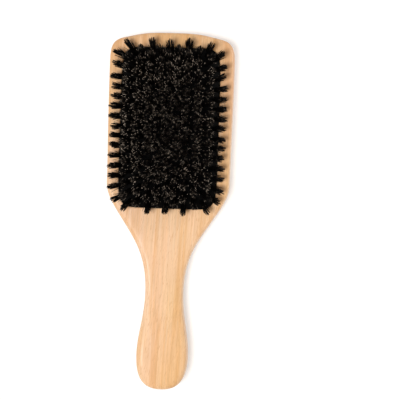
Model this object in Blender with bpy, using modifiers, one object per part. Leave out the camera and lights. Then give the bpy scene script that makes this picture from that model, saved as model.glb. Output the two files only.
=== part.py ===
"""A paddle hairbrush for a vanity table, lying on its back with its bristles up.

Metres, +Z up. The brush runs along Y with its head at +Y, is symmetric about X = 0,
and has its origin under the middle of its length, on the surface that it lies on.
"""

import math
import random

import bmesh
import bpy
from mathutils import Matrix, Vector
from mathutils.geometry import interpolate_bezier

MM = 0.001

# The wooden body's outline, seen from the bristle side
LENGTH = 240.0 * MM
HEAD_WIDTH = 84.2 * MM
HEAD_LENGTH = 101.3 * MM  # from the head's end to where its sides start to draw in
HEAD_TAPER = 0.7 * MM  # how much each side has drawn in by then
HEAD_ARCH = 3.8 * MM  # how far the head's end bows out between its corners
CORNER_WIDTH = 9.0 * MM
CORNER_LENGTH = 21.0 * MM
SHOULDER_WIDTH = 49.6 * MM  # where the shoulder turns from bowed out to drawn in
SHOULDER_TO_TAIL = 105.6 * MM
SHOULDER_STEEPNESS = 1.65  # its slope there, as a multiple of the slope from head to neck
NECK_WIDTH = 25.3 * MM
NECK_TO_TAIL = 65.3 * MM
GRIP_WIDTH = 34.4 * MM
GRIP_TO_TAIL = 23.0 * MM

# The wooden body's thickness
HEAD_THICKNESS = 14.0 * MM
NECK_THICKNESS = 13.0 * MM
NECK_LIFT = 1.5 * MM
GRIP_THICKNESS = 16.5 * MM
HEAD_EDGE_INSET = 6.0 * MM  # how far in from its outline the head's faces turn flat
SPINE_SHARE = 0.15  # the flat band along the handle, as a share of its width
EDGE_SQUARENESS = 3.6  # exponent of the edge's superellipse

# The pocket in the head, and the cushion that closes it
RIM_SIDE = 8.8 * MM
RIM_END = 10.1 * MM
PAD_OVERRUN = 16.9 * MM  # how far the pad runs on past the head's straight sides
PAD_SQUARENESS = 9.0  # exponent of the pad's superellipse
POCKET_DEPTH = 7.0 * MM
MOUTH_CHAMFER = 0.4 * MM
LIP = 2.5 * MM
GROOVE_HEIGHT = 2.2 * MM
GROOVE_DEPTH = 3.0 * MM
CUSHION_CROWN = 5.5 * MM
CUSHION_SET_DOWN = 0.2 * MM  # the crown's edge lies this far under the rim
CROWN_FULLNESS = 4.0
RUBBER = 1.2 * MM
LINING = 0.6 * MM
FIT = 0.3 * MM  # clearance between pieces that touch
VENT_DIAMETER = 2.0 * MM
VENT_OVERRUN = 0.5 * MM  # how far its cutter runs past what it cuts

# The tufts
COLUMNS = 11
ROWS = 16
SIDE_MARGIN = 3.5 * MM  # from the pad's sides to the middle of the outer tufts
END_MARGIN = 5.0 * MM  # and from its ends
SKIN = 0.8 * MM  # the slice of the cushion's face that carries a row of tufts
SKIN_FIT = 0.4 * MM
SKIN_SHARE = 0.975  # the skin stops at this share of the pad's width
SKIN_END_SHARE = 0.97  # and at this share of its length
TUFT_LENGTH = 13.0 * MM
TUFT_RAGGEDNESS = 0.9 * MM
ROOT_SINK = 0.5 * MM
ROOT_SPREAD = 0.62 * MM
INNER_TIP_SPREAD = 1.7 * MM
OUTER_TIP_SPREAD = 2.1 * MM
STRAND_ROOT_RADIUS = 0.52 * MM
STRAND_TIP_RADIUS = 0.34 * MM
INNER_STRANDS = 2
OUTER_STRANDS = 3
CORNER_SHARE = 0.955  # corner tufts are pulled in to this share of the pad
OUTER_SHARE = 0.89  # tufts further out than this are outer ones
UPRIGHT_SHARE = 0.6  # tufts further in than this hardly lean
LEANING_SHARE = 0.91  # tufts further out than this lean fully
EDGE_LEAN = math.radians(43)
FAN_LEAN = math.radians(5)
FAN_SQUARENESS = 5.0  # lower than the pad's, so that the tufts at its corners fan out

# Fineness of the meshes
POINTS_PER_CURVE = 8
EDGE_STEPS = 5
PAD_POINTS = 40
FACE_SHARES = [0.3, 0.5, 0.65, 0.77, 0.87, 0.94, 1.0]  # the crown's rings
UNDER_SHARES = [0.4, 0.65, 0.85, 0.94]  # and those of what lies under it
SKIN_STEPS = 10
STEEP_SHARE = 0.75  # the skin takes more steps where it reaches further out than this
SPINE_STEP = 9.0 * MM
SMOOTH_ANGLE = math.radians(40)

# Worked out from the sizes above
HEAD_END = LENGTH / 2
TAIL_END = -LENGTH / 2
SIDES_END = HEAD_END - HEAD_LENGTH
NECK_Y = TAIL_END + NECK_TO_TAIL
GRIP_Y = TAIL_END + GRIP_TO_TAIL
TAIL_CENTRE = TAIL_END + GRIP_WIDTH / 2
PAD_HALF_WIDTH = HEAD_WIDTH / 2 - RIM_SIDE
PAD_LENGTH = HEAD_LENGTH + PAD_OVERRUN - RIM_END
PAD_HALF_LENGTH = PAD_LENGTH / 2
PAD_Y = HEAD_END - RIM_END - PAD_HALF_LENGTH
RIM_Z = HEAD_THICKNESS
CROWN_BASE_Z = RIM_Z - CUSHION_SET_DOWN
GROOVE_TOP_Z = RIM_Z - LIP
GROOVE_BOTTOM_Z = GROOVE_TOP_Z - GROOVE_HEIGHT
COLUMN_PITCH = 2 * (PAD_HALF_WIDTH - SIDE_MARGIN) / (COLUMNS - 1)
ROW_PITCH = 2 * (PAD_HALF_LENGTH - END_MARGIN) / (ROWS - 1)


def start_scene():
    for thing in list(bpy.data.objects):
        bpy.data.objects.remove(thing, do_unlink=True)
    parts = bpy.data.collections.new("paddle_hairbrush")
    cutters = bpy.data.collections.new("cutters")
    bpy.context.scene.collection.children.link(parts)
    bpy.context.scene.collection.children.link(cutters)
    return parts, cutters


def principled(name, colour, roughness):
    material = bpy.data.materials.new(name)
    material.use_nodes = True
    shader = material.node_tree.nodes["Principled BSDF"]
    shader.inputs["Base Color"].default_value = (*colour, 1.0)
    shader.inputs["Roughness"].default_value = roughness
    shader.inputs["Metallic"].default_value = 0.0
    return material


def add_object(name, bm, collection, material=None):
    """Makes a named object of a bmesh, which is freed."""
    bmesh.ops.recalc_face_normals(bm, faces=bm.faces)
    mesh = bpy.data.meshes.new(name)
    bm.to_mesh(mesh)
    bm.free()
    mesh.shade_smooth()
    mesh.set_sharp_from_angle(angle=SMOOTH_ANGLE)
    thing = bpy.data.objects.new(name, mesh)
    collection.objects.link(thing)
    if material:
        mesh.materials.append(material)
    else:
        thing.hide_render = True
        thing.display_type = "WIRE"
    return thing


def boolean(thing, cutter, operation):
    modifier = thing.modifiers.new(cutter.name, "BOOLEAN")
    modifier.operation = operation
    modifier.solver = "EXACT"
    modifier.object = cutter


def smooth_step(share):
    share = min(max(share, 0.0), 1.0)
    return share * share * (3 - 2 * share)


def along_brush(y, stations):
    """Reads a value at y from (y, value) stations that run from the head to the tail."""
    for (y_from, value_from), (y_to, value_to) in zip(stations, stations[1:]):
        if y >= y_to:
            share = smooth_step((y_from - y) / (y_from - y_to))
            return value_from + (value_to - value_from) * share
    return stations[-1][1]


# The wooden body


def outline_knots():
    """(point, direction, handle shares before and after) down the outline's right half."""
    half = HEAD_WIDTH / 2
    low = Vector((half - HEAD_TAPER, SIDES_END))
    neck = Vector((NECK_WIDTH / 2, NECK_Y))
    arch = Vector((1.0, -2 * HEAD_ARCH / (half - CORNER_WIDTH)))
    shoulder = Vector((SHOULDER_WIDTH / 2, TAIL_END + SHOULDER_TO_TAIL))
    slope = Vector((SHOULDER_STEEPNESS * (neck.x - low.x), neck.y - low.y))
    down = Vector((0.0, -1.0))
    return [
        (Vector((0.0, HEAD_END)), Vector((1.0, 0.0)), 0.0, 0.56),
        (Vector((half - CORNER_WIDTH, HEAD_END - HEAD_ARCH)), arch, 0.41, 0.42),
        (Vector((half, HEAD_END - CORNER_LENGTH)), down, 0.55, 0.54),
        (low, down, 0.26, 0.27),
        (shoulder, slope, 0.56, 0.27),
        (neck, down, 0.47, 0.40),
        (Vector((GRIP_WIDTH / 2, GRIP_Y)), down, 0.32, 0.56),
        (Vector((0.0, TAIL_END)), Vector((-1.0, 0.0)), 0.42, 0.0),
    ]


def half_outline():
    points = []
    knots = outline_knots()
    for (start, leave, _, out_share), (end, arrive, in_share, _) in zip(knots, knots[1:]):
        chord = (end - start).length
        first = start + leave.normalized() * chord * out_share
        second = end - arrive.normalized() * chord * in_share
        curve = interpolate_bezier(
            start.to_3d(), first.to_3d(), second.to_3d(), end.to_3d(), POINTS_PER_CURVE
        )
        points += curve[:-1]
    return points + [curve[-1]]


def outward_normals(points):
    """Unit normals of the right half's outline, which crosses X = 0 square to it."""
    normals = []
    for i, point in enumerate(points):
        before = points[i - 1] if i else Vector((-points[1].x, points[1].y, 0.0))
        after = points[i + 1] if i + 1 < len(points) else Vector((-before.x, before.y, 0.0))
        along = after - before
        normals.append(Vector((-along.y, along.x, 0.0)).normalized())
    return normals


def back_z(y):
    return along_brush(y, [(SIDES_END, 0.0), (NECK_Y, NECK_LIFT), (GRIP_Y, 0.0)])


def front_z(y):
    neck_front = NECK_LIFT + NECK_THICKNESS
    return along_brush(
        y, [(SIDES_END, HEAD_THICKNESS), (NECK_Y, neck_front), (GRIP_Y, GRIP_THICKNESS)]
    )


def face_edge(point, normal):
    """Where the rounded edge that starts at an outline point turns into the flat face.

    On the head it lies a fixed way in, and on the handle it closes in on the spine.
    """
    on_head = point - normal * HEAD_EDGE_INSET
    spine_y = max(point.y, TAIL_CENTRE + (point.y - TAIL_CENTRE) * SPINE_SHARE)
    on_handle = Vector((point.x * SPINE_SHARE, spine_y, 0.0))
    return on_head.lerp(on_handle, along_brush(point.y, [(SIDES_END, 0.0), (NECK_Y, 1.0)]))


def body_rings():
    """Rings of points round the right half's edge, from its back face to its front face."""
    outline = half_outline()
    inner = [face_edge(p, n) for p, n in zip(outline, outward_normals(outline))]
    rings = []
    for step in range(-EDGE_STEPS, EDGE_STEPS + 1):
        angle = math.pi / 2 * step / EDGE_STEPS
        inset = 1 - max(math.cos(angle), 0.0) ** (2 / EDGE_SQUARENESS)
        rise = math.copysign(abs(math.sin(angle)) ** (2 / EDGE_SQUARENESS), angle)
        ring = []
        for outer_point, inner_point in zip(outline, inner):
            point = outer_point.lerp(inner_point, inset)
            low, high = back_z(point.y), front_z(point.y)
            point.z = (low + high) / 2 + (high - low) / 2 * rise
            ring.append(point)
        rings.append(ring)
    return rings


def close_face(bm, ring, height_at):
    """Fills a half face between its edge and a line of vertices down the middle."""
    top, bottom = ring[0].co.y, ring[-1].co.y
    steps = round((top - bottom) / SPINE_STEP)
    middle = []
    for step in range(1, steps):
        y = bottom + (top - bottom) * step / steps
        middle.append(bm.verts.new((0.0, y, height_at(y))))
    border = [*ring, *middle]
    edges = []
    for first, second in zip(border, border[1:] + border[:1]):
        edges.append(bm.edges.get((first, second)) or bm.edges.new((first, second)))
    bmesh.ops.triangle_fill(bm, use_beauty=True, edges=edges, normal=(0, 0, 1))


def build_body(parts, cutters):
    bm = bmesh.new()
    rings = [[bm.verts.new(point) for point in ring] for ring in body_rings()]
    for lower, upper in zip(rings, rings[1:]):
        for i in range(len(lower) - 1):
            bm.faces.new((lower[i], lower[i + 1], upper[i + 1], upper[i]))
    close_face(bm, rings[0], back_z)
    close_face(bm, rings[-1], front_z)
    wood = principled("beech", (0.86, 0.58, 0.33), 0.45)
    body = add_object("paddle_body", bm, parts, wood)
    mirror = body.modifiers.new("other_half", "MIRROR")
    mirror.use_axis = (True, False, False)
    mirror.merge_threshold = 0.00001
    boolean(body, build_pocket_cutter(cutters), "DIFFERENCE")


# Shapes that follow the pad's outline


def pad_ring(half_width, half_length, z):
    points = []
    for step in range(PAD_POINTS):
        angle = 2 * math.pi * step / PAD_POINTS
        reach = abs(math.cos(angle)) ** (2 / PAD_SQUARENESS)
        climb = abs(math.sin(angle)) ** (2 / PAD_SQUARENESS)
        x = math.copysign(half_width * reach, math.cos(angle))
        y = math.copysign(half_length * climb, math.sin(angle))
        points.append(Vector((x, PAD_Y + y, z)))
    return points


def pad_solid(name, sizes, collection, material=None):
    """Lofts a closed solid through pad outlines given as (half width, half length, z)."""
    bm = bmesh.new()
    rings = [[bm.verts.new(point) for point in pad_ring(*size)] for size in sizes]
    for lower, upper in zip(rings, rings[1:]):
        for i in range(PAD_POINTS):
            after = (i + 1) % PAD_POINTS
            bm.faces.new((lower[i], lower[after], upper[after], upper[i]))
    bm.faces.new(rings[0])
    bm.faces.new(rings[-1])
    return add_object(name, bm, collection, material)


def grown(growth, z):
    """The pad's opening grown by some way all round, at height z."""
    return (PAD_HALF_WIDTH + growth, PAD_HALF_LENGTH + growth, z)


def build_pocket_cutter(cutters):
    sizes = [
        grown(0.0, RIM_Z - POCKET_DEPTH),
        grown(0.0, GROOVE_BOTTOM_Z),
        grown(GROOVE_DEPTH, GROOVE_BOTTOM_Z),
        grown(GROOVE_DEPTH, GROOVE_TOP_Z),
        grown(0.0, GROOVE_TOP_Z),
        grown(0.0, RIM_Z - MOUTH_CHAMFER),
        grown(MOUTH_CHAMFER, RIM_Z),
        grown(MOUTH_CHAMFER, RIM_Z + MOUTH_CHAMFER),
    ]
    return pad_solid("pocket_cutter", sizes, cutters)


# The cushion


def pad_share(x, y):
    """0 in the middle of the pad and 1 on the edge of its opening."""
    across = abs(x) / PAD_HALF_WIDTH
    along = abs(y - PAD_Y) / PAD_HALF_LENGTH
    return (across**PAD_SQUARENESS + along**PAD_SQUARENESS) ** (1 / PAD_SQUARENESS)


def crown_z(share):
    """Height of the cushion's face, for a share from pad_share."""
    return CROWN_BASE_Z + CUSHION_CROWN * (1 - share**CROWN_FULLNESS)


def crown_rings(shares, inset, drop):
    """Rings on the crown, drawn in by inset at the pad's edge and lowered by drop."""
    width = PAD_HALF_WIDTH - inset
    length = PAD_HALF_LENGTH - inset
    return [(width * share, length * share, crown_z(share) - drop) for share in shares]


def build_cushion(parts, vent):
    inner_wall = FIT + RUBBER
    flange = GROOVE_DEPTH - FIT
    sizes = [
        *crown_rings(FACE_SHARES, FIT, 0.0),
        grown(-FIT, GROOVE_TOP_Z - FIT),
        grown(flange, GROOVE_TOP_Z - FIT),
        grown(flange, GROOVE_BOTTOM_Z + FIT),
        grown(-inner_wall, GROOVE_BOTTOM_Z + FIT),
        *reversed(crown_rings([*UNDER_SHARES, 1.0], inner_wall, RUBBER)),
    ]
    rubber = principled("black_rubber", (0.012, 0.011, 0.011), 0.55)
    cushion = pad_solid("rubber_cushion", sizes, parts, rubber)
    boolean(cushion, vent, "DIFFERENCE")


def build_lining(parts, vent):
    inset = 2 * FIT + RUBBER
    drop = RUBBER + FIT
    sizes = [
        *crown_rings(UNDER_SHARES, inset, drop),
        *reversed(crown_rings(UNDER_SHARES, inset, drop + LINING)),
    ]
    cloth = principled("lining_cloth", (0.18, 0.16, 0.14), 0.9)
    lining = pad_solid("cushion_lining", sizes, parts, cloth)
    boolean(lining, vent, "DIFFERENCE")


def build_vent(cutters):
    """A hole between the tufts at the handle end, through the cushion and no higher."""
    y = PAD_Y - ROW_PITCH * (ROWS - 2) / 2
    top = crown_z(pad_share(0.0, y)) + SKIN_FIT + SKIN + VENT_OVERRUN
    bottom = RIM_Z - POCKET_DEPTH + VENT_OVERRUN
    bm = bmesh.new()
    bmesh.ops.create_cone(
        bm,
        cap_ends=True,
        segments=12,
        radius1=VENT_DIAMETER / 2,
        radius2=VENT_DIAMETER / 2,
        depth=top - bottom,
        matrix=Matrix.Translation((0.0, y, (top + bottom) / 2)),
    )
    return add_object("vent_cutter", bm, cutters)


# The tufts


def width_at(y, share):
    """Half the width at y of the pad's outline scaled by share."""
    along = min(abs(y - PAD_Y) / (PAD_HALF_LENGTH * share), 1.0)
    return PAD_HALF_WIDTH * share * (1 - along**PAD_SQUARENESS) ** (1 / PAD_SQUARENESS)


def tuft_places():
    """The staggered pattern's half-step rows from the head's end, each a list of (x, y)."""
    middle = (COLUMNS - 1) // 2
    rows = []
    for half_step in range(2 * ROWS - 1):
        y = PAD_Y + ROW_PITCH * ((ROWS - 1) - half_step) / 2
        limit = width_at(y, CORNER_SHARE)
        columns = range(-middle + 1 - half_step % 2, middle + 1, 2)
        rows.append([(min(max(c * COLUMN_PITCH, -limit), limit), y) for c in columns])
    return rows


def outward(x, y):
    """The level direction in which a tuft leans, as a unit vector."""
    power = FAN_SQUARENESS - 1
    across = abs(x) / PAD_HALF_WIDTH
    along = abs(y - PAD_Y) / PAD_HALF_LENGTH
    out_x = math.copysign(across**power / PAD_HALF_WIDTH, x)
    out_y = math.copysign(along**power / PAD_HALF_LENGTH, y - PAD_Y)
    return Vector((out_x, out_y, 0.0)).normalized()


def tuft_axis(x, y):
    """Unit direction of a tuft: upright in the middle, leaning out at the pad's edge."""
    share = pad_share(x, y)
    edge = smooth_step((share - UPRIGHT_SHARE) / (LEANING_SHARE - UPRIGHT_SHARE))
    lean = FAN_LEAN * share + (EDGE_LEAN - FAN_LEAN) * edge
    return outward(x, y) * math.sin(lean) + Vector((0.0, 0.0, math.cos(lean)))


def add_strand(bm, start, end):
    """A tapered, three-sided strand."""
    along = end - start
    turn = along.to_track_quat("Z", "Y").to_matrix().to_4x4()
    bmesh.ops.create_cone(
        bm,
        cap_ends=True,
        segments=3,
        radius1=STRAND_ROOT_RADIUS,
        radius2=STRAND_TIP_RADIUS,
        depth=along.length,
        matrix=Matrix.Translation((start + end) / 2) @ turn,
    )


def add_tuft(bm, x, y, spread):
    """A few strands that rise side by side out of the skin and splay towards their tips."""
    axis = tuft_axis(x, y)
    side = axis.cross(Vector((0.0, 1.0, 0.0))).normalized()
    other = axis.cross(side)
    root = Vector((x, y, crown_z(pad_share(x, y)) + SKIN_FIT + SKIN)) - axis * ROOT_SINK
    outer = pad_share(x, y) > OUTER_SHARE
    count = OUTER_STRANDS if outer else INNER_STRANDS
    tip_spread = OUTER_TIP_SPREAD if outer else INNER_TIP_SPREAD
    turn = spread.uniform(0, 2 * math.pi)
    for strand in range(count):
        angle = turn + 2 * math.pi * strand / count
        across = side * math.cos(angle) + other * math.sin(angle)
        length = TUFT_LENGTH + spread.uniform(-1, 1) * TUFT_RAGGEDNESS
        root_spread = ROOT_SPREAD * math.sqrt(count / 2)
        end = root + axis * length + across * tip_spread
        add_strand(bm, root + across * root_spread, end)


def build_skin_slice(name, y_high, y_low, parts, material):
    """A strip of the cushion's face between two heights along the brush."""
    steep = max(pad_share(0.0, y_high), pad_share(0.0, y_low)) > STEEP_SHARE
    bm = bmesh.new()
    bmesh.ops.create_grid(bm, x_segments=SKIN_STEPS, y_segments=3 if steep else 1, size=1.0)
    for vertex in bm.verts:
        y = y_low + (y_high - y_low) * (vertex.co.y + 1) / 2
        x = width_at(y, SKIN_SHARE) * math.sin(math.pi / 2 * vertex.co.x)
        vertex.co = (x, y, crown_z(pad_share(x, y)) + SKIN_FIT)
    strip = add_object(name, bm, parts, material)
    solidify = strip.modifiers.new("thickness", "SOLIDIFY")
    solidify.thickness = SKIN
    solidify.offset = 1.0
    return strip


def build_tuft_rows(parts, cutters, vent):
    """Each node is a slice of skin that carries two staggered rows, and the last carries one."""
    bristle = principled("boar_bristle", (0.02, 0.016, 0.013), 0.4)
    spread = random.Random(11)
    rows = tuft_places()
    end = PAD_HALF_LENGTH * SKIN_END_SHARE
    for number in range(ROWS):
        pair = rows[2 * number : 2 * number + 2]
        cut = PAD_Y + ROW_PITCH * ((ROWS - 1) / 2 - number + 1 / 4)
        y_high = cut - FIT / 2 if number else PAD_Y + end
        y_low = cut - ROW_PITCH + FIT / 2 if number < ROWS - 1 else PAD_Y - end
        strip = build_skin_slice(f"tuft_row_{number + 1:02d}", y_high, y_low, parts, bristle)
        bm = bmesh.new()
        for x, y in [place for row in pair for place in row]:
            add_tuft(bm, x, y, spread)
        strands = add_object(f"strands_{number + 1:02d}", bm, cutters)
        boolean(strip, strands, "UNION")
        if number == ROWS - 2:
            boolean(strip, vent, "DIFFERENCE")


def main():
    parts, cutters = start_scene()
    build_body(parts, cutters)
    vent = build_vent(cutters)
    build_cushion(parts, vent)
    build_lining(parts, vent)
    build_tuft_rows(parts, cutters, vent)


main()
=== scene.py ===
"""Looks for the paddle hairbrush: a sanded beech body, a domed rubber cushion and its tufts of
boar bristle, hair by hair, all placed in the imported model's frame (metres, +Z up, head at +Y).
"""

import math
import random

import bmesh
import bpy
import numpy as np
from mathutils import Matrix, Vector
from mathutils.geometry import interpolate_bezier


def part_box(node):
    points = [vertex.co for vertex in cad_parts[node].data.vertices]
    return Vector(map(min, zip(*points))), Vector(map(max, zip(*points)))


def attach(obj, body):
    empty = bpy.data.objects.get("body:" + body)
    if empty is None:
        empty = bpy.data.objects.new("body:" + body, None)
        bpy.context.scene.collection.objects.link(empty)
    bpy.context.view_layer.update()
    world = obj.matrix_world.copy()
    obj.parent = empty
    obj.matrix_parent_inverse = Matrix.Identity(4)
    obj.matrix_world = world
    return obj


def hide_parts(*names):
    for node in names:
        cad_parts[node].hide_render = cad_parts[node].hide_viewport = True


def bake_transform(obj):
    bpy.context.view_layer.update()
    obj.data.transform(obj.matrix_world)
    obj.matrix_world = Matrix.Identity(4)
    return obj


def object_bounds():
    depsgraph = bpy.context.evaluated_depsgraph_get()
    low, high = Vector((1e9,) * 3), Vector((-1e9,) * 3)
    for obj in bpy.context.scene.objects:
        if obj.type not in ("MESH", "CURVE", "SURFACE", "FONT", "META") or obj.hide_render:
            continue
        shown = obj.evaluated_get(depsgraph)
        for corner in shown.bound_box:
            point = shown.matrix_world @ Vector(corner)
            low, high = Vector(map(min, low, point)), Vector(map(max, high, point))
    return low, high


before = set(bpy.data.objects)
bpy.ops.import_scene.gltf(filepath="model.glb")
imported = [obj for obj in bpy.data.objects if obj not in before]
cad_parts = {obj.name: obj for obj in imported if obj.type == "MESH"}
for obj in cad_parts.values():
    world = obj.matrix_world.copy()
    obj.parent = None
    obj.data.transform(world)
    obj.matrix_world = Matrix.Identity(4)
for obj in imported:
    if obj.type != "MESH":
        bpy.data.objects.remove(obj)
CAD_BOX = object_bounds()

MM = 0.001
BODY_LOW, BODY_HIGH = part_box("paddle_body")
TUFT_NODES = sorted(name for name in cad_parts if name.startswith("tuft_row_"))
BED = "bristle_bed"

# The wooden body, with the CAD part's sizes unless a line says otherwise
HEAD_WIDTH = BODY_HIGH.x - BODY_LOW.x
HEAD_LENGTH = 101.3 * MM
HEAD_TAPER = 0.7 * MM
HEAD_ARCH = 3.8 * MM
CORNER_WIDTH = 9.0 * MM
CORNER_LENGTH = 21.0 * MM
SHOULDER_WIDTH = 49.6 * MM
SHOULDER_TO_TAIL = 105.6 * MM
SHOULDER_STEEPNESS = 1.65
NECK_WIDTH = 25.3 * MM
NECK_TO_TAIL = 65.3 * MM
GRIP_WIDTH = 34.4 * MM
GRIP_TO_TAIL = 23.0 * MM
HEAD_THICKNESS = 14.0 * MM
NECK_THICKNESS = 13.0 * MM
NECK_LIFT = 1.5 * MM
GRIP_THICKNESS = BODY_HIGH.z - BODY_LOW.z
HEAD_EDGE_INSET = 6.0 * MM
SPINE_SHARE = 0.15
EDGE_SQUARENESS = 5.0  # 3.6 in the part; a crisper roundover inside the same outline

# The pocket and the cushion, with the CAD part's sizes unless a line says otherwise
RIM_SIDE = 8.8 * MM
RIM_END = 10.1 * MM
PAD_OVERRUN = 16.9 * MM
PAD_SQUARENESS = 9.0
POCKET_DEPTH = 7.0 * MM
MOUTH_ROUNDING = 0.5 * MM  # the part has a chamfer of 0.4 mm
LIP = 2.5 * MM
GROOVE_HEIGHT = 2.2 * MM
GROOVE_DEPTH = 3.0 * MM
FIT = 0.3 * MM
EDGE_SET_DOWN = 0.2 * MM
CROWN = 6.7 * MM  # the part's crown with the slices that its tufts stand on
CROWN_FULLNESS = 6.0  # 4 in the part
RUBBER = 1.4 * MM  # 1.2 mm in the part
LINING = 0.6 * MM
THICK_EDGE_SHARE = 0.8  # the rubber is thick from here to the pad's edge
LINING_EDGE_SHARE = 0.78

# The tufts' places and leans, with the CAD part's sizes unless a line says otherwise
COLUMNS = 11
ROWS = 16
SIDE_MARGIN = 3.5 * MM
END_MARGIN = 5.0 * MM
CORNER_SHARE = 0.93  # 0.955 in the part; the hairs here clear the rim when they are pressed in
UPRIGHT_SHARE = 0.35  # 0.6 in the part
LEANING_SHARE = 0.91
EDGE_LEAN = math.radians(43)
FAN_LEAN = math.radians(5)
FAN_SQUARENESS = 5.0  # lower than the pad's, so the tufts at its corners fan out
TUFT_LENGTH = 14.6 * MM  # 13 mm in the part, whose tufts don't thin out towards their ends

# The tufts at the head's end differ from the rest, and in the part they don't
HEAD_END_LEAN = math.radians(9)  # what they lean more
HEAD_END_SPREAD = 1.3 * MM  # what their tips spread more
HEAD_END_REACH = 30 * MM  # how far from the middle line that holds
HEAD_END_FALL = 8  # the power with which it fades away from the head's end
HEAD_SIDE_FALL = 4  # and towards the sides

# Worked out from the sizes above
HEAD_END = BODY_HIGH.y
TAIL_END = BODY_LOW.y
SIDES_END = HEAD_END - HEAD_LENGTH
NECK_Y = TAIL_END + NECK_TO_TAIL
GRIP_Y = TAIL_END + GRIP_TO_TAIL
TAIL_CENTRE = TAIL_END + GRIP_WIDTH / 2
PAD_HALF_WIDTH = HEAD_WIDTH / 2 - RIM_SIDE
PAD_HALF_LENGTH = (HEAD_LENGTH + PAD_OVERRUN - RIM_END) / 2
PAD_Y = HEAD_END - RIM_END - PAD_HALF_LENGTH
RIM_Z = HEAD_THICKNESS
GROOVE_TOP_Z = RIM_Z - LIP
GROOVE_BOTTOM_Z = GROOVE_TOP_Z - GROOVE_HEIGHT
COLUMN_PITCH = 2 * (PAD_HALF_WIDTH - SIDE_MARGIN) / (COLUMNS - 1)
ROW_PITCH = 2 * (PAD_HALF_LENGTH - END_MARGIN) / (ROWS - 1)

# Fineness of the meshes
POINTS_PER_CURVE = 24
EDGE_STEPS = 12
PAD_POINTS = 200
MOUTH_STEPS = 4
SPINE_STEP = 4.0 * MM
MERGE_DISTANCE = 0.01 * MM
BODY_CREASE = math.radians(35)  # edges sharper than this stay sharp
CUSHION_CREASE = math.radians(50)

# The hairs
HAIRS_PER_TUFT = 150
HAIR_SIDES = 3
HAIR_STEPS = 4
HAIR_ROOT_RADIUS = 0.22 * MM
HAIR_TIP_RADIUS = 0.09 * MM
HAIR_BEND = 1.3  # hairs stay close together at the root and spread towards the tip
HAIR_SHORTENING = 0.12
ROOT_SINK = 0.8 * MM  # how deep the hairs start in the rubber
LEVEL = Vector((0.31, 0.95, 0.0))  # no hair runs this way, so its sides can be squared to it
TUFT_ROOT_RADIUS = 1.7 * MM
EDGE_ROOT_RADIUS = 1.3 * MM  # the root radius of the tufts round the pad's edge
EDGE_ROOT_FALL = 4  # the power with which that fades towards the pad's middle
INNER_TIP_RADIUS = 3.6 * MM
EDGE_TIP_RADIUS = 2.4 * MM
TUFT_TILT = 0.05  # how unevenly the tufts lean, in radians
SEED = 23

# A tuft's hairs gather to the points of clumps
CLUMPS_PER_TUFT = 22
CLUMP_REACH = (0.8, 1.5)  # how far out they are drawn, in shares of the tuft's radius
CLUMP_WIDTH = 0.07  # how wide a point is, likewise
CLUMPING = 0.85  # how far a hair's tip goes over to its clump, at most
CLUMPING_EVENNESS = 0.4
CLUMP_SHORTENING = 0.42  # how much shorter the shortest clumps are, at a tuft's outside
SHORTENING_SHARES = (0.3, 1.0)  # how much of that each clump takes

# Strays stand apart from every clump
STRAY_SHARE = 0.08
STRAY_REACH = (1.2, 1.7)  # how many times further out a stray's tip lies than its root
STRAY_LENGTHS = (0.7, 1.0)

# Tones run from 0 to 1, and hairs from PALE_TONE up have pale tips
PALE_SHARE = 0.19
PALE_TONE = 0.6
EDGE_DARKENING = 0.3  # how much less pale the hairs round the pad's edge are
EDGE_DARKENING_FALL = 6  # the power with which that fades towards the pad's middle

# The beech's grain runs a little askew, and its short dark rays more so
GRAIN_TURN = math.radians(-2)
RAY_TURN = math.radians(-11)

# The camera
CAMERA_DISTANCE = 950.0 * MM
CAMERA_YAW = math.radians(4.7)
CAMERA_ROLL = math.radians(2.0)
FIELD = 267.7 * MM  # what the frame is wide, at the head's rim
AIM_RIGHT = 22.7 * MM
AIM_UP = 7.5 * MM

# The studio
DAYLIGHT = (1.0, 0.79, 0.58)
DAYLIGHT_STRENGTH = 0.24
FLOOR_REACH = 4.0  # metres each way
FLOOR_GAP = 0.05 * MM
FLOOR_WHITE = 0.9  # what the floor throws back on the brush
FLOOR_GLOW = 0.50  # what it shows the camera by itself
FLOOR_VEIL = 0.58  # and what it shows of the light that falls on it


# Shapes


def smooth_step(share):
    share = min(max(share, 0.0), 1.0)
    return share * share * (3 - 2 * share)


def along_brush(y, stations):
    """Reads a value at y from (y, value) stations that run from the head to the tail."""
    for (y_from, value_from), (y_to, value_to) in zip(stations, stations[1:]):
        if y >= y_to:
            share = smooth_step((y_from - y) / (y_from - y_to))
            return value_from + (value_to - value_from) * share
    return stations[-1][1]


def new_piece(name, bm, material):
    bmesh.ops.recalc_face_normals(bm, faces=bm.faces)
    mesh = bpy.data.meshes.new(name)
    bm.to_mesh(mesh)
    bm.free()
    mesh.materials.append(material)
    mesh.shade_smooth()
    piece = bpy.data.objects.new(name, mesh)
    bpy.context.scene.collection.objects.link(piece)
    return piece


def apply_modifiers(piece):
    """Bakes a piece's modifiers into its mesh."""
    graph = bpy.context.evaluated_depsgraph_get()
    mesh = bpy.data.meshes.new_from_object(piece.evaluated_get(graph), depsgraph=graph)
    piece.modifiers.clear()
    old = piece.data
    piece.data = mesh
    bpy.data.meshes.remove(old)
    mesh.name = piece.name


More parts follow.
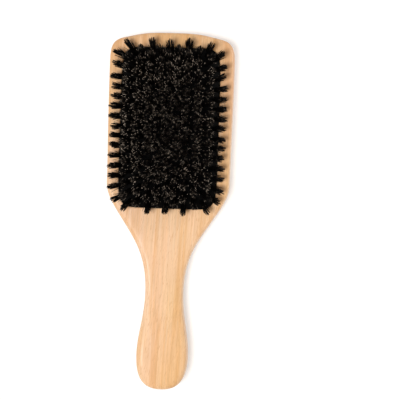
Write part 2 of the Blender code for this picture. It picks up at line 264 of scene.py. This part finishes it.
def outline_knots():
    """(point, direction, handle shares before and after) down the outline's right half."""
    half = HEAD_WIDTH / 2
    low = Vector((half - HEAD_TAPER, SIDES_END))
    neck = Vector((NECK_WIDTH / 2, NECK_Y))
    arch = Vector((1.0, -2 * HEAD_ARCH / (half - CORNER_WIDTH)))
    shoulder = Vector((SHOULDER_WIDTH / 2, TAIL_END + SHOULDER_TO_TAIL))
    slope = Vector((SHOULDER_STEEPNESS * (neck.x - low.x), neck.y - low.y))
    down = Vector((0.0, -1.0))
    return [
        (Vector((0.0, HEAD_END)), Vector((1.0, 0.0)), 0.0, 0.56),
        (Vector((half - CORNER_WIDTH, HEAD_END - HEAD_ARCH)), arch, 0.41, 0.42),
        (Vector((half, HEAD_END - CORNER_LENGTH)), down, 0.55, 0.54),
        (low, down, 0.26, 0.27),
        (shoulder, slope, 0.56, 0.27),
        (neck, down, 0.47, 0.40),
        (Vector((GRIP_WIDTH / 2, GRIP_Y)), down, 0.32, 0.56),
        (Vector((0.0, TAIL_END)), Vector((-1.0, 0.0)), 0.42, 0.0),
    ]


def half_outline():
    points = []
    knots = outline_knots()
    for (start, leave, _, out_share), (end, arrive, in_share, _) in zip(knots, knots[1:]):
        chord = (end - start).length
        first = start + leave.normalized() * chord * out_share
        second = end - arrive.normalized() * chord * in_share
        curve = interpolate_bezier(
            start.to_3d(), first.to_3d(), second.to_3d(), end.to_3d(), POINTS_PER_CURVE
        )
        points += curve[:-1]
    return points + [curve[-1]]


def outward_normals(points):
    """Unit normals of the right half's outline, which crosses X = 0 square to it."""
    normals = []
    for i, point in enumerate(points):
        before = points[i - 1] if i else Vector((-points[1].x, points[1].y, 0.0))
        after = points[i + 1] if i + 1 < len(points) else Vector((-before.x, before.y, 0.0))
        along = after - before
        normals.append(Vector((-along.y, along.x, 0.0)).normalized())
    return normals


def back_z(y):
    return along_brush(y, [(SIDES_END, 0.0), (NECK_Y, NECK_LIFT), (GRIP_Y, 0.0)])


def front_z(y):
    neck_front = NECK_LIFT + NECK_THICKNESS
    return along_brush(
        y, [(SIDES_END, HEAD_THICKNESS), (NECK_Y, neck_front), (GRIP_Y, GRIP_THICKNESS)]
    )


def face_edge(point, normal):
    """Where the rounded edge that starts at an outline point turns into the flat face."""
    on_head = point - normal * HEAD_EDGE_INSET
    spine_y = max(point.y, TAIL_CENTRE + (point.y - TAIL_CENTRE) * SPINE_SHARE)
    on_handle = Vector((point.x * SPINE_SHARE, spine_y, 0.0))
    return on_head.lerp(on_handle, along_brush(point.y, [(SIDES_END, 0.0), (NECK_Y, 1.0)]))


def body_rings():
    """Rings of points round the right half's edge, from its back face to its front face."""
    outline = half_outline()
    inner = [face_edge(p, n) for p, n in zip(outline, outward_normals(outline))]
    rings = []
    for step in range(-EDGE_STEPS, EDGE_STEPS + 1):
        angle = math.pi / 2 * step / EDGE_STEPS
        inset = 1 - max(math.cos(angle), 0.0) ** (2 / EDGE_SQUARENESS)
        rise = math.copysign(abs(math.sin(angle)) ** (2 / EDGE_SQUARENESS), angle)
        ring = []
        for outer_point, inner_point in zip(outline, inner):
            point = outer_point.lerp(inner_point, inset)
            low, high = back_z(point.y), front_z(point.y)
            point.z = (low + high) / 2 + (high - low) / 2 * rise
            ring.append(point)
        rings.append(ring)
    return rings


def close_face(bm, ring, height_at):
    """Fills a half face between its edge and a line of vertices down the middle."""
    top, bottom = ring[0].co.y, ring[-1].co.y
    steps = round((top - bottom) / SPINE_STEP)
    middle = []
    for step in range(1, steps):
        y = bottom + (top - bottom) * step / steps
        middle.append(bm.verts.new((0.0, y, height_at(y))))
    border = [*ring, *middle]
    edges = []
    for first, second in zip(border, border[1:] + border[:1]):
        edges.append(bm.edges.get((first, second)) or bm.edges.new((first, second)))
    bmesh.ops.triangle_fill(bm, use_beauty=True, edges=edges, normal=(0, 0, 1))


def pad_ring(half_width, half_length, z, count=PAD_POINTS):
    """Points of a superellipse round the pad's middle, closer together in its corners."""
    points = []
    for step in range(count):
        angle = 2 * math.pi * step / count
        reach = abs(math.cos(angle)) ** (2 / PAD_SQUARENESS)
        climb = abs(math.sin(angle)) ** (2 / PAD_SQUARENESS)
        x = math.copysign(half_width * reach, math.cos(angle))
        y = math.copysign(half_length * climb, math.sin(angle))
        points.append(Vector((x, PAD_Y + y, z)))
    return points


def pad_loft(name, sizes, material):
    """A closed solid through pad outlines given as (half width, half length, z)."""
    bm = bmesh.new()
    rings = [[bm.verts.new(point) for point in pad_ring(*size)] for size in sizes]
    for lower, upper in zip(rings, rings[1:]):
        for i in range(PAD_POINTS):
            after = (i + 1) % PAD_POINTS
            bm.faces.new((lower[i], lower[after], upper[after], upper[i]))
    bm.faces.new(rings[0])
    bm.faces.new(rings[-1])
    return new_piece(name, bm, material)


def grown(growth, z):
    return (PAD_HALF_WIDTH + growth, PAD_HALF_LENGTH + growth, z)


def rounded_mouth():
    """The pocket's mouth opening out on a quarter circle to the rim."""
    sizes = []
    for step in range(MOUTH_STEPS + 1):
        angle = math.pi / 2 * step / MOUTH_STEPS
        growth = MOUTH_ROUNDING * (1 - math.cos(angle))
        sizes.append(grown(growth, RIM_Z - MOUTH_ROUNDING * (1 - math.sin(angle))))
    return sizes


def make_body(material):
    bm = bmesh.new()
    rings = [[bm.verts.new(point) for point in ring] for ring in body_rings()]
    for lower, upper in zip(rings, rings[1:]):
        for i in range(len(lower) - 1):
            bm.faces.new((lower[i], lower[i + 1], upper[i + 1], upper[i]))
    close_face(bm, rings[0], back_z)
    close_face(bm, rings[-1], front_z)
    body = new_piece("beech_body", bm, material)
    mirror = body.modifiers.new("other_half", "MIRROR")
    mirror.merge_threshold = MERGE_DISTANCE
    sizes = [
        grown(0.0, RIM_Z - POCKET_DEPTH),
        grown(0.0, GROOVE_BOTTOM_Z),
        grown(GROOVE_DEPTH, GROOVE_BOTTOM_Z),
        grown(GROOVE_DEPTH, GROOVE_TOP_Z),
        grown(0.0, GROOVE_TOP_Z),
        *rounded_mouth(),
        grown(MOUTH_ROUNDING, RIM_Z + MOUTH_ROUNDING),
    ]
    cutter = pad_loft("pocket_cutter", sizes, material)
    cut = body.modifiers.new("pocket", "BOOLEAN")
    cut.operation = "DIFFERENCE"
    cut.solver = "EXACT"
    cut.object = cutter
    apply_modifiers(body)
    bpy.data.objects.remove(cutter)
    body.data.shade_smooth()
    body.data.set_sharp_from_angle(angle=BODY_CREASE)
    return body


def pad_share(x, y):
    """0 in the middle of the pad and 1 on the edge of its opening."""
    across = abs(x) / PAD_HALF_WIDTH
    along = abs(y - PAD_Y) / PAD_HALF_LENGTH
    return (across**PAD_SQUARENESS + along**PAD_SQUARENESS) ** (1 / PAD_SQUARENESS)


def crown_z(share):
    return RIM_Z - EDGE_SET_DOWN + CROWN * (1 - share**CROWN_FULLNESS)


def crown_rings(shares, inset, drop):
    width = PAD_HALF_WIDTH - inset
    length = PAD_HALF_LENGTH - inset
    return [(width * share, length * share, crown_z(share) - drop) for share in shares]


def make_cushion(material):
    """The domed rubber, thin in the middle and thick round its edge, with its flange."""
    flat_shares = [0.02, *np.linspace(0.08, THICK_EDGE_SHARE, 16)]
    falling_shares = np.linspace(0.825, 1.0, 15)
    top_shares = [*flat_shares, *falling_shares]
    flange = GROOVE_DEPTH - FIT
    wall = (PAD_HALF_WIDTH - FIT) * THICK_EDGE_SHARE
    wall_length = (PAD_HALF_LENGTH - FIT) * THICK_EDGE_SHARE
    sizes = [
        *crown_rings(top_shares, FIT, 0.0),
        grown(-FIT, GROOVE_TOP_Z - FIT),
        grown(flange, GROOVE_TOP_Z - FIT),
        grown(flange, GROOVE_BOTTOM_Z + FIT),
        (wall, wall_length, GROOVE_BOTTOM_Z + FIT),
        *reversed(crown_rings(flat_shares, FIT, RUBBER)),
    ]
    cushion = pad_loft("rubber_cushion_skin", [tuple(map(float, s)) for s in sizes], material)
    cushion.data.set_sharp_from_angle(angle=CUSHION_CREASE)
    return cushion


def make_lining(material):
    """The cloth under the rubber."""
    shares = np.linspace(0.05, LINING_EDGE_SHARE, 14)
    sizes = [
        *crown_rings(shares, FIT, RUBBER + FIT),
        *reversed(crown_rings(shares, FIT, RUBBER + FIT + LINING)),
    ]
    return pad_loft("lining_cloth_sheet", [tuple(map(float, s)) for s in sizes], material)


# The tufts


def width_at(y, share):
    """How far from the middle line the pad reaches at y, drawn in to a share of its size."""
    along = min(abs(y - PAD_Y) / (PAD_HALF_LENGTH * share), 1.0)
    return PAD_HALF_WIDTH * share * (1 - along**PAD_SQUARENESS) ** (1 / PAD_SQUARENESS)


def tuft_places():
    """The staggered pattern's half-step rows from the head's end, each a list of (x, y)."""
    middle = (COLUMNS - 1) // 2
    rows = []
    for half_step in range(2 * ROWS - 1):
        y = PAD_Y + ROW_PITCH * ((ROWS - 1) - half_step) / 2
        limit = width_at(y, CORNER_SHARE)
        columns = range(-middle + 1 - half_step % 2, middle + 1, 2)
        rows.append([(min(max(c * COLUMN_PITCH, -limit), limit), y) for c in columns])
    return rows


def outward(x, y):
    """The level direction in which a tuft leans, as a unit vector."""
    power = FAN_SQUARENESS - 1
    across = abs(x) / PAD_HALF_WIDTH
    along = abs(y - PAD_Y) / PAD_HALF_LENGTH
    out_x = math.copysign(across**power / PAD_HALF_WIDTH, x)
    out_y = math.copysign(along**power / PAD_HALF_LENGTH, y - PAD_Y)
    return Vector((out_x, out_y, 0.0)).normalized()


def edge_share(x, y):
    """0 for the tufts that stand up and 1 for those round the pad's edge."""
    share = (pad_share(x, y) - UPRIGHT_SHARE) / (LEANING_SHARE - UPRIGHT_SHARE)
    return min(max(share, 0.0), 1.0)


def head_end_share(x, y):
    """1 at the middle of the head's end, 0 along the sides and at the corners."""
    along = max((y - PAD_Y) / PAD_HALF_LENGTH, 0.0) ** HEAD_END_FALL
    return along * max(1 - (x / HEAD_END_REACH) ** HEAD_SIDE_FALL, 0.0)


def tuft_axis(x, y):
    """The direction in which a tuft points, as a unit vector."""
    lean = FAN_LEAN * pad_share(x, y) + (EDGE_LEAN - FAN_LEAN) * edge_share(x, y)
    lean += HEAD_END_LEAN * head_end_share(x, y)
    return outward(x, y) * math.sin(lean) + Vector((0.0, 0.0, math.cos(lean)))


def spot_in_disk(draw):
    """A random point in the unit disk."""
    angle = draw.uniform(0, 2 * math.pi)
    reach = math.sqrt(draw.random())
    return Vector((math.cos(angle) * reach, math.sin(angle) * reach))


def make_clumps(draw):
    """The points that a tuft's hairs gather to: (spot, share of the full length, tone)."""
    clumps = []
    for _ in range(CLUMPS_PER_TUFT):
        spot = spot_in_disk(draw) * draw.uniform(*CLUMP_REACH)
        outside = min(spot.length, 1.0) ** 2
        length_share = 1 - CLUMP_SHORTENING * outside * draw.uniform(*SHORTENING_SHARES)
        clumps.append((spot, length_share, draw.random()))
    return clumps


def hair_ends(clumps, draw):
    """A hair's start and end across its tuft, in radii, its share of the length and its tone."""
    start = spot_in_disk(draw)
    spot, length_share, tone = min(clumps, key=lambda clump: (clump[0] - start).length)
    length_share *= 1 - HAIR_SHORTENING * draw.random() ** 2
    if draw.random() < STRAY_SHARE:
        end = start * draw.uniform(*STRAY_REACH)
        return start, end, length_share * draw.uniform(*STRAY_LENGTHS), 1.0
    gathered = CLUMPING * draw.random() ** CLUMPING_EVENNESS
    end = start.lerp(spot, gathered) + spot_in_disk(draw) * CLUMP_WIDTH
    if draw.random() < PALE_SHARE:
        return start, end, length_share, PALE_TONE + (1 - PALE_TONE) * tone
    return start, end, length_share, PALE_TONE * tone


def hair_path(root, frame_of_tuft, start, end, length):
    """Points along one hair, from under the skin to its tip; start and end lie across the tuft."""
    side, other, axis = frame_of_tuft
    points = []
    for step in range(HAIR_STEPS + 1):
        t = step / HAIR_STEPS
        place = start.lerp(end, t**HAIR_BEND)
        points.append(root + side * place.x + other * place.y + axis * length * t)
    return points


def add_hair(points, vertices, faces, tips):
    """Adds a closed strand that narrows to its tip, and how far along it each vertex lies."""
    first = len(vertices)
    for step, point in enumerate(points):
        t = step / HAIR_STEPS
        ahead = points[min(step + 1, HAIR_STEPS)] - points[max(step - 1, 0)]
        side = ahead.cross(LEVEL).normalized()
        other = ahead.cross(side).normalized()
        radius = HAIR_ROOT_RADIUS + (HAIR_TIP_RADIUS - HAIR_ROOT_RADIUS) * t
        for corner in range(HAIR_SIDES):
            angle = 2 * math.pi * corner / HAIR_SIDES
            vertices.append(point + (side * math.cos(angle) + other * math.sin(angle)) * radius)
            tips.append(t)
    for step in range(HAIR_STEPS):
        low = first + step * HAIR_SIDES
        for corner in range(HAIR_SIDES):
            after = (corner + 1) % HAIR_SIDES
            high = low + HAIR_SIDES
            faces.append((low + corner, low + after, high + after, high + corner))
    faces.append(tuple(range(first + HAIR_SIDES - 1, first - 1, -1)))
    last = first + HAIR_STEPS * HAIR_SIDES
    faces.append(tuple(range(last, last + HAIR_SIDES)))


def make_tuft_row(name, places, material, draw):
    """One piece with every hair of the tufts at these places."""
    vertices, faces, tips, tones = [], [], [], []
    for x, y in places:
        axis = tuft_axis(x, y)
        side = axis.cross(Vector((0.0, 1.0, 0.0))).normalized()
        other = axis.cross(side)
        axis = axis + side * draw.gauss(0, TUFT_TILT) + other * draw.gauss(0, TUFT_TILT)
        axis = axis.normalized()
        root = Vector((x, y, crown_z(pad_share(x, y)))) - axis * ROOT_SINK
        edge = edge_share(x, y)
        narrowed = (EDGE_ROOT_RADIUS - TUFT_ROOT_RADIUS) * edge**EDGE_ROOT_FALL
        root_radius = TUFT_ROOT_RADIUS + narrowed
        tip_radius = INNER_TIP_RADIUS + (EDGE_TIP_RADIUS - INNER_TIP_RADIUS) * edge
        tip_radius += HEAD_END_SPREAD * head_end_share(x, y)
        tone_share = 1 - EDGE_DARKENING * edge**EDGE_DARKENING_FALL
        clumps = make_clumps(draw)
        for _ in range(HAIRS_PER_TUFT):
            start, end, length_share, tone = hair_ends(clumps, draw)
            length = TUFT_LENGTH * length_share
            before = len(vertices)
            across = (start * root_radius, end * tip_radius)
            add_hair(hair_path(root, (side, other, axis), *across, length), vertices, faces, tips)
            tones += [tone * tone_share] * (len(vertices) - before)
    mesh = bpy.data.meshes.new(name)
    mesh.from_pydata([tuple(v) for v in vertices], [], faces)
    mesh.attributes.new("tip", "FLOAT", "POINT").data.foreach_set("value", tips)
    mesh.attributes.new("tone", "FLOAT", "POINT").data.foreach_set("value", tones)
    mesh.materials.append(material)
    mesh.shade_smooth()
    piece = bpy.data.objects.new(name, mesh)
    bpy.context.scene.collection.objects.link(piece)
    return piece


# Materials


class Nodes:
    """Short calls for building one material's node tree."""

    def __init__(self, name):
        self.material = bpy.data.materials.new(name)
        self.material.use_nodes = True
        self.tree = self.material.node_tree
        self.shader = self.tree.nodes["Principled BSDF"]

    def add(self, kind, **settings):
        node = self.tree.nodes.new(kind)
        for key, value in settings.items():
            setattr(node, key, value)
        return node

    def link(self, source, target):
        self.tree.links.new(source, target)

    def coordinates(self, scale, turn=0.0):
        """Object coordinates scaled along axes that are first turned about Z."""
        place = self.add("ShaderNodeTexCoord")
        mapping = self.add("ShaderNodeMapping", vector_type="TEXTURE")
        mapping.inputs["Rotation"].default_value = (0.0, 0.0, turn)
        mapping.inputs["Scale"].default_value = [1 / share for share in scale]
        self.link(place.outputs["Object"], mapping.inputs["Vector"])
        return mapping.outputs["Vector"]

    def noise(self, scale, detail=3.0, roughness=0.5, distortion=0.0, turn=0.0):
        """A noise whose features are 1/scale metres across along each axis."""
        node = self.add("ShaderNodeTexNoise")
        node.inputs["Scale"].default_value = 1.0
        node.inputs["Detail"].default_value = detail
        node.inputs["Roughness"].default_value = roughness
        node.inputs["Distortion"].default_value = distortion
        self.link(self.coordinates(scale, turn), node.inputs["Vector"])
        return node.outputs["Fac"]

    def ramp(self, value, stops):
        """Maps 0..1 to the values or colours of stops, given as (place, value)."""
        node = self.add("ShaderNodeValToRGB")
        elements = node.color_ramp.elements
        while len(elements) < len(stops):
            elements.new(0.5)
        for element, (place, colour) in zip(elements, stops):
            element.position = place
            grey = isinstance(colour, (int, float))
            element.color = (colour, colour, colour, 1) if grey else (*colour, 1)
        self.link(value, node.inputs["Fac"])
        return node.outputs["Color"]

    def mix(self, share, first, second, blend="MIX"):
        """Blends colours or sockets; inputs 0, 6 and 7 are the factor and the two colours."""
        node = self.add("ShaderNodeMix", data_type="RGBA", blend_type=blend)
        for number, value in ((0, share), (6, first), (7, second)):
            socket = node.inputs[number]
            if isinstance(value, bpy.types.NodeSocket):
                self.link(value, socket)
            else:
                socket.default_value = value if isinstance(value, (int, float)) else (*value, 1)
        return node.outputs[2]

    def bump(self, height, strength, distance=0.1 * MM):
        node = self.add("ShaderNodeBump")
        node.inputs["Strength"].default_value = strength
        node.inputs["Distance"].default_value = distance
        self.link(height, node.inputs["Height"])
        self.link(node.outputs["Normal"], self.shader.inputs["Normal"])

    def along(self, start, full):
        """0 up to Y = start and 1 from Y = full on."""
        place = self.add("ShaderNodeTexCoord")
        axes = self.add("ShaderNodeSeparateXYZ")
        self.link(place.outputs["Object"], axes.inputs[0])
        share = self.add("ShaderNodeMapRange", interpolation_type="SMOOTHSTEP")
        share.inputs["From Min"].default_value = start
        share.inputs["From Max"].default_value = full
        self.link(axes.outputs["Y"], share.inputs["Value"])
        return share.outputs[0]

    def attribute(self, name):
        return self.add("ShaderNodeAttribute", attribute_name=name).outputs["Fac"]


def beech():
    """Pale beech: broad soft bands, fine fibres and short dark rays, all along the brush; painted
    shade makes it a little darker and warmer towards the tail, and more so towards the head's end.
    """
    nodes = Nodes("beech")
    bands = nodes.ramp(
        nodes.noise((220, 6, 170), detail=5.0, roughness=0.62, distortion=0.4, turn=GRAIN_TURN),
        [(0.36, (0.84, 0.500, 0.255)), (0.50, (0.91, 0.592, 0.355)), (0.64, (0.95, 0.668, 0.450))],
    )
    painted_tail_shade = nodes.along(TAIL_END + 65.0 * MM, TAIL_END + 10.0 * MM)
    painted_head_shade = nodes.along(HEAD_END - 150.0 * MM, HEAD_END)
    # Painted shade: a little darker and warmer over the last 65 mm to the tail, for the light that
    # falls off there
    bands = nodes.mix(painted_tail_shade, bands, (0.99, 0.955, 0.89), "MULTIPLY")
    # Painted shade: darker and warmer over the last 150 mm to the head's end, for the tufts' shadow
    # on the head's margin and the light falling away there
    bands = nodes.mix(painted_head_shade, bands, (0.87, 0.80, 0.70), "MULTIPLY")
    tints = nodes.ramp(
        nodes.noise((38, 10, 34), detail=2.0),
        [(0.35, (1.0, 0.975, 1.0)), (0.65, (0.99, 1.0, 0.91))],
    )
    bands = nodes.mix(1.0, bands, tints, "MULTIPLY")
    fibres = nodes.noise((1600, 55, 1300), roughness=0.65, turn=GRAIN_TURN)
    fibres = nodes.ramp(fibres, [(0.34, 0.87), (0.66, 1.03)])
    grain = nodes.mix(1.0, bands, fibres, "MULTIPLY")
    rays = nodes.noise((2300, 240, 1800), detail=1.0, turn=RAY_TURN)
    rays = nodes.ramp(rays, [(0.60, 0.0), (0.70, 0.5)])
    colour = nodes.mix(rays, grain, (0.66, 0.355, 0.165))
    nodes.link(colour, nodes.shader.inputs["Base Color"])
    rough = nodes.ramp(nodes.noise((300, 30, 300)), [(0.3, 0.32), (0.7, 0.42)])
    nodes.link(rough, nodes.shader.inputs["Roughness"])
    nodes.bump(nodes.noise((1700, 60, 1500), roughness=0.6), strength=0.12)
    nodes.shader.inputs["Specular IOR Level"].default_value = 0.35
    nodes.shader.inputs["Coat Weight"].default_value = 0.2
    nodes.shader.inputs["Coat Roughness"].default_value = 0.2
    return nodes.material


def black_rubber():
    """Matt black rubber, a little mottled."""
    nodes = Nodes("black_rubber")
    colour = nodes.ramp(
        nodes.noise((420, 420, 420), detail=4.0),
        [(0.35, (0.001, 0.00095, 0.0009)), (0.7, (0.0026, 0.0024, 0.0023))],
    )
    nodes.link(colour, nodes.shader.inputs["Base Color"])
    rough = nodes.ramp(nodes.noise((900, 900, 900)), [(0.3, 0.5), (0.7, 0.68)])
    nodes.link(rough, nodes.shader.inputs["Roughness"])
    nodes.bump(nodes.noise((2500, 2500, 2500), detail=2.0), strength=0.15)
    nodes.shader.inputs["Specular IOR Level"].default_value = 0.03
    return nodes.material


def lining_cloth():
    """Dark cloth with a fine weave."""
    nodes = Nodes("lining_cloth")
    weave = nodes.add("ShaderNodeTexWave", wave_type="BANDS", bands_direction="X")
    weave.inputs["Scale"].default_value = 1.0
    nodes.link(nodes.coordinates((700, 700, 700)), weave.inputs["Vector"])
    colour = nodes.ramp(weave.outputs["Fac"], [(0.2, (0.10, 0.09, 0.08)), (0.8, (0.2, 0.18, 0.16))])
    nodes.link(colour, nodes.shader.inputs["Base Color"])
    rough = nodes.ramp(weave.outputs["Fac"], [(0.0, 0.8), (1.0, 0.95)])
    nodes.link(rough, nodes.shader.inputs["Roughness"])
    nodes.bump(weave.outputs["Fac"], strength=0.3)
    return nodes.material


def boar_bristle():
    """Near-black hair, of which single ones turn pale at their very tips."""
    nodes = Nodes("boar_bristle")
    tone = nodes.attribute("tone")
    dark = nodes.mix(tone, (0.002, 0.0017, 0.0016), (0.005, 0.004, 0.0035))
    pale = nodes.ramp(
        tone,
        [
            (0.5, (0.002, 0.0018, 0.0016)),
            (PALE_TONE, (0.05, 0.038, 0.028)),
            (0.85, (0.32, 0.26, 0.205)),
            (1.0, (1.0, 0.85, 0.70)),
        ],
    )
    tip = nodes.ramp(nodes.attribute("tip"), [(0.86, 0.0), (0.99, 1.0)])
    nodes.link(nodes.mix(tip, dark, pale), nodes.shader.inputs["Base Color"])
    rough = nodes.ramp(tone, [(0.0, 0.35), (1.0, 0.5)])
    nodes.link(rough, nodes.shader.inputs["Roughness"])
    nodes.shader.inputs["Specular IOR Level"].default_value = 0.06
    return nodes.material


# The studio


def white_for_the_camera(tree, seen, lit, output):
    """Shows seen to the camera and to mirrors, and lit to everything else."""
    path = tree.nodes.new("ShaderNodeLightPath")
    shows = path.outputs["Is Camera Ray"]
    for name in ("Is Glossy Ray", "Is Transmission Ray"):
        either = tree.nodes.new("ShaderNodeMath")
        either.operation = "MAXIMUM"
        tree.links.new(shows, either.inputs[0])
        tree.links.new(path.outputs[name], either.inputs[1])
        shows = either.outputs[0]
    mix = tree.nodes.new("ShaderNodeMixShader")
    tree.links.new(shows, mix.inputs[0])
    tree.links.new(lit.outputs[0], mix.inputs[1])
    tree.links.new(seen.outputs[0], mix.inputs[2])
    tree.links.new(mix.outputs[0], output)


def make_world():
    """White where the camera and mirrors see it, and a weak warm light elsewhere."""
    world = bpy.data.worlds.new("studio")
    bpy.context.scene.world = world
    world.use_nodes = True
    tree = world.node_tree
    lit = tree.nodes["Background"]
    lit.inputs["Color"].default_value = (*DAYLIGHT, 1)
    lit.inputs["Strength"].default_value = DAYLIGHT_STRENGTH
    seen = tree.nodes.new("ShaderNodeBackground")
    seen.inputs["Color"].default_value = (1, 1, 1, 1)
    seen.inputs["Strength"].default_value = 1.0
    white_for_the_camera(tree, seen, lit, tree.nodes["World Output"].inputs["Surface"])


def make_floor():
    """A white sheet that glows a little for the camera, and still takes the shadow."""
    material = bpy.data.materials.new("floor")
    material.use_nodes = True
    tree = material.node_tree
    tree.nodes.remove(tree.nodes["Principled BSDF"])
    lit = tree.nodes.new("ShaderNodeBsdfDiffuse")
    lit.inputs["Color"].default_value = (FLOOR_WHITE, FLOOR_WHITE, FLOOR_WHITE, 1)
    glow = tree.nodes.new("ShaderNodeEmission")
    glow.inputs["Strength"].default_value = FLOOR_GLOW
    veil = tree.nodes.new("ShaderNodeBsdfDiffuse")
    veil.inputs["Color"].default_value = (FLOOR_VEIL, FLOOR_VEIL, FLOOR_VEIL, 1)
    seen = tree.nodes.new("ShaderNodeAddShader")
    tree.links.new(glow.outputs[0], seen.inputs[0])
    tree.links.new(veil.outputs[0], seen.inputs[1])
    output = tree.nodes["Material Output"].inputs["Surface"]
    white_for_the_camera(tree, seen, lit, output)
    bm = bmesh.new()
    bmesh.ops.create_grid(bm, x_segments=1, y_segments=1, size=FLOOR_REACH)
    floor = new_piece("floor", bm, material)
    floor.location.z = CAD_BOX[0].z - FLOOR_GAP


def make_lamp(name, place, size, power, mirrored=True, lighting=True):
    """Adds a round lamp aimed at the origin, which may leave highlights, light surfaces or both."""
    data = bpy.data.lights.new(name, "AREA")
    data.shape = "DISK"
    data.size = size
    data.energy = power
    lamp = bpy.data.objects.new(name, data)
    lamp.location = place
    lamp.visible_glossy = mirrored
    lamp.visible_diffuse = lighting
    lamp.rotation_euler = (-Vector(place)).to_track_quat("-Z", "Y").to_euler()
    bpy.context.scene.collection.objects.link(lamp)


def make_camera():
    """Above the brush and a little to its right, with the head leaning right in the frame."""
    right = Vector((math.cos(CAMERA_ROLL), math.sin(CAMERA_ROLL), 0.0))
    up = Vector((-math.sin(CAMERA_ROLL), math.cos(CAMERA_ROLL), 0.0))
    aim = Vector((0.0, 0.0, RIM_Z)) + right * AIM_RIGHT + up * AIM_UP
    back = right * math.sin(CAMERA_YAW) + Vector((0.0, 0.0, math.cos(CAMERA_YAW)))
    turned_right = up.cross(back).normalized()
    turn = Matrix((turned_right, back.cross(turned_right), back)).transposed()
    data = bpy.data.cameras.new("camera")
    data.lens = data.sensor_width * CAMERA_DISTANCE / FIELD
    camera = bpy.data.objects.new("camera", data)
    camera.location = aim + back * CAMERA_DISTANCE
    camera.rotation_euler = turn.to_euler()
    bpy.context.scene.collection.objects.link(camera)
    bpy.context.scene.camera = camera


def make_brush():
    """Every piece, with the node that it stands for and the body that it rides on."""
    body = make_body(beech())
    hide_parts("paddle_body")
    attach(body, "root")

    cushion = make_cushion(black_rubber())
    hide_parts("rubber_cushion")
    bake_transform(cushion)

    lining = make_lining(lining_cloth())
    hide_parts("cushion_lining")
    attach(lining, BED)

    bristle = boar_bristle()
    draw = random.Random(SEED)
    rows = tuft_places()
    for number, node in enumerate(TUFT_NODES):
        pair = rows[2 * number : 2 * number + 2]
        places = [place for row in pair for place in row]
        piece = make_tuft_row(f"bristles_{number + 1:02d}", places, bristle, draw)
        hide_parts(node)
        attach(piece, BED)


def main():
    bpy.context.scene.view_settings.view_transform = "Standard"
    make_camera()
    make_world()
    make_floor()
    make_lamp("key", (-1.2, -1.1, 5.8), 2.2, 274.0, mirrored=False)
    make_lamp("gloss", (-2.9, -0.6, 5.6), 0.8, 75.0, lighting=False)
    make_lamp("left", (-3.5, -0.5, 1.6), 1.2, 16.0)
    make_lamp("rim", (0.42, 0.20, 0.15), 0.12, 0.62)
    make_brush()


main()
